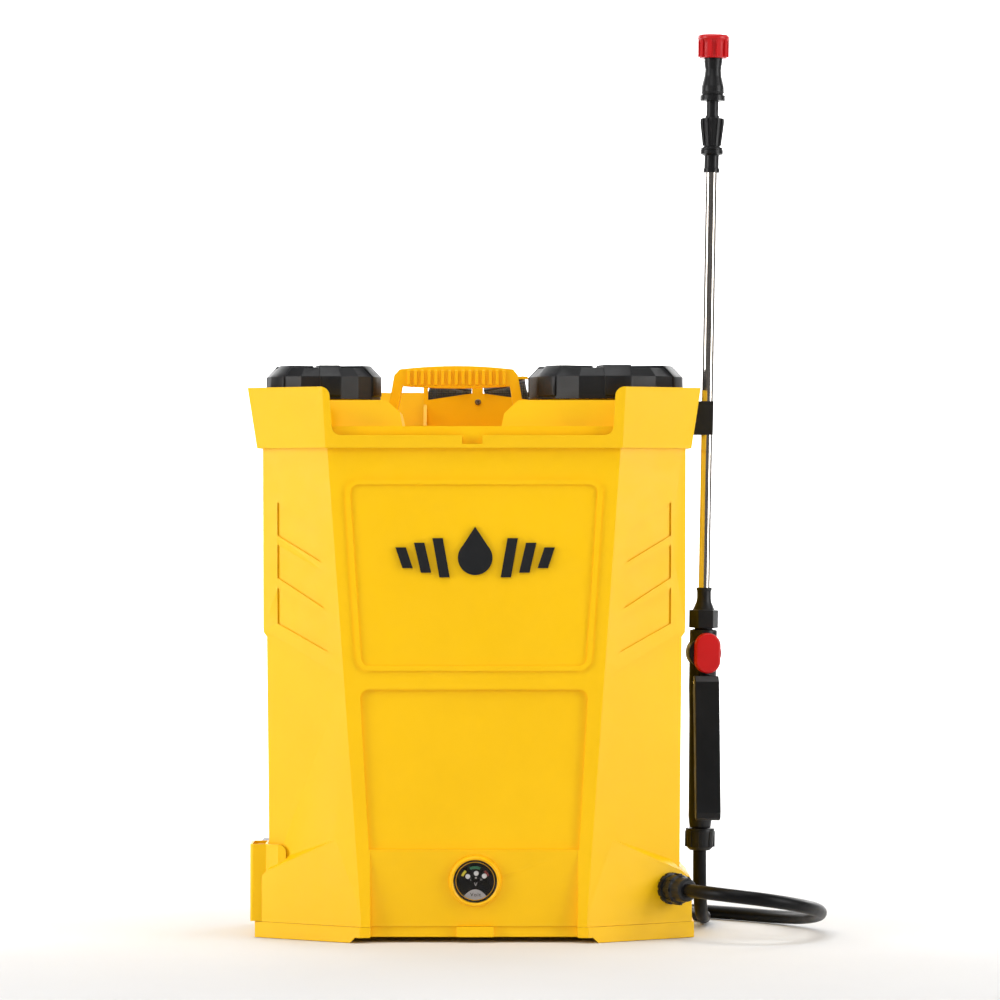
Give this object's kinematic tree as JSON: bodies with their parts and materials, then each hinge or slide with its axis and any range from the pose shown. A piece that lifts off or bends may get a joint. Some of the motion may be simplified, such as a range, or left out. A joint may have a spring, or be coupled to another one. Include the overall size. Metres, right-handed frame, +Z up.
{
  "type": "backpack sprayer",
  "caption": "Battery backpack sprayer: hollow yellow tank with two screw caps, handle, harness, pump bay, gauge, and a clipped lance on a flexible hose.",
  "frame": {"origin": "middle of the base's underside, on the floor", "axes": "+Z up, -Y is the front with the gauge and badge, +X is the side that carries the lance"},
  "size_m": [0.5144, 0.4075, 0.7986],
  "materials": {
    "tank_yellow": "moulded, satin",
    "trim_yellow": "moulded, satin",
    "black_plastic": "fine moulded texture",
    "grip_black": "satin nylon",
    "red_plastic": "satin",
    "switch_red": "satin",
    "stainless": "polished stainless",
    "zinc_steel": "zinc plated",
    "rubber": "soft",
    "hose_black": "smooth PVC hose",
    "inner_hose": "clear braided hose, shown opaque",
    "basket_grey": "polypropylene",
    "battery_grey": "ABS",
    "motor_steel": "zinc plated",
    "pump_black": "glass-filled nylon",
    "dial_black": "printed dial",
    "led_white": "frosted",
    "lens_clear": "clear",
    "pad_fabric": "padded mesh fabric",
    "webbing": "woven polypropylene"
  },
  "bodies": {
    "root": {"back_pad": "pad_fabric", "badge": "black_plastic", "base_plate": "tank_yellow", "base_screws": "zinc_steel", "battery": "battery_grey", "battery_bracket": "zinc_steel", "bracket_screws": "zinc_steel", "carry_handle": "trim_yellow", "charge_socket": "grip_black", "delivery_hose": "inner_hose", "gauge_bezel": "trim_yellow", "gauge_can": "black_plastic", "gauge_dial": "dial_black", "gauge_leds": "led_white", "gauge_lens": "lens_clear", "grip_body": "grip_black", "handle_screws": "zinc_steel", "hose_coil": "hose_black", "hose_run_lance": "hose_black", "hose_run_tank": "hose_black", "hose_tie": "webbing", "inlet_nut": "grip_black", "lance_clip": "black_plastic", "lance_holster": "tank_yellow", "lance_tube": "stainless", "lever_pin": "stainless", "lower_webbing": "webbing", "nozzle_body": "grip_black", "nozzle_stem": "grip_black", "outlet_fitting": "black_plastic", "outlet_hex": "grip_black", "outlet_nut": "black_plastic", "pump_feet": "rubber", "pump_head": "pump_black", "pump_motor": "motor_steel", "shoulder_strap_left": "pad_fabric", "shoulder_strap_right": "pad_fabric", "strainer_basket": "basket_grey", "strap_bracket": "trim_yellow", "strap_buckles": "black_plastic", "strap_hooks": "black_plastic", "suction_fitting": "basket_grey", "suction_hose": "inner_hose", "switch_housing": "black_plastic", "swivel_collar": "grip_black", "swivel_nut": "grip_black", "tank": "tank_yellow", "top_collar": "tank_yellow", "valve_spring": "stainless"},
    "main_cap_lift": {"main_cap_gasket": "rubber"},
    "main_cap": {"main_cap": "black_plastic"},
    "small_cap_lift": {"small_cap_gasket": "rubber"},
    "small_cap": {"small_cap": "black_plastic"},
    "nozzle_cap": {"nozzle_cap": "red_plastic"},
    "trigger": {"trigger_lever": "grip_black"},
    "plunger": {"valve_plunger": "stainless"},
    "thumb_lock": {"thumb_lock": "red_plastic"},
    "power_switch": {"power_switch": "switch_red"},
    "speed_knob": {"speed_knob": "black_plastic"},
    "charge_cap": {"charge_cap": "rubber"}
  },
  "joints": [
    {"name": "main_cap_lift", "type": "slide", "parent": "root", "child": "main_cap_lift", "axis": [0, 0, 1], "range_m": [0, 0.1]},
    {"name": "main_cap_turn", "type": "hinge", "parent": "main_cap_lift", "child": "main_cap", "pos_m": [0.116, 0, 0.49], "axis": [0, 0, 1], "range_deg": [0, 90]},
    {"name": "small_cap_lift", "type": "slide", "parent": "root", "child": "small_cap_lift", "axis": [0, 0, 1], "range_m": [0, 0.1]},
    {"name": "small_cap_turn", "type": "hinge", "parent": "small_cap_lift", "child": "small_cap", "pos_m": [-0.134, 0, 0.49], "axis": [0, 0, 1], "range_deg": [0, 90]},
    {"name": "nozzle_turn", "type": "hinge", "parent": "root", "child": "nozzle_cap", "pos_m": [0.21291, 0.015, 0.7869], "axis": [0.0173, 0, 0.9999], "range_deg": [0, 270]},
    {"name": "trigger_squeeze", "type": "hinge", "parent": "root", "child": "trigger", "pos_m": [0.20522, -0.00187, 0.22195], "axis": [0.9924, 0.1219, -0.0171], "range_deg": [0, 10], "stiffness_Nm_per_rad": 0.4, "springref_deg": -8.59},
    {"name": "plunger_slide", "type": "slide", "parent": "root", "child": "plunger", "axis": [-0.1219, 0.9925, 0.0021], "range_m": [0, 0.0034], "deforming": ["valve_spring"]},
    {"name": "thumb_lock_turn", "type": "hinge", "parent": "root", "child": "thumb_lock", "pos_m": [0.2053, 0.0011, 0.24795], "axis": [0.1219, -0.9925, -0.0021], "range_deg": [0, 90]},
    {"name": "power_switch_rock", "type": "hinge", "parent": "root", "child": "power_switch", "pos_m": [-0.1895, 0.049, 0.062], "axis": [0, 0, -1], "range_deg": [0, 20]},
    {"name": "speed_knob_turn", "type": "hinge", "parent": "root", "child": "speed_knob", "pos_m": [-0.1915, 0.075, 0.06], "axis": [-1, 0, 0], "range_deg": [0, 270]},
    {"name": "charge_cap_swing", "type": "hinge", "parent": "root", "child": "charge_cap", "pos_m": [-0.1934, 0.059, 0.0474], "axis": [0, 1, 0], "range_deg": [0, 110]}
  ],
  "couplings": [
    {"joint": "plunger_slide", "follows": "trigger_squeeze", "m_per_rad": 0.018}
  ]
}
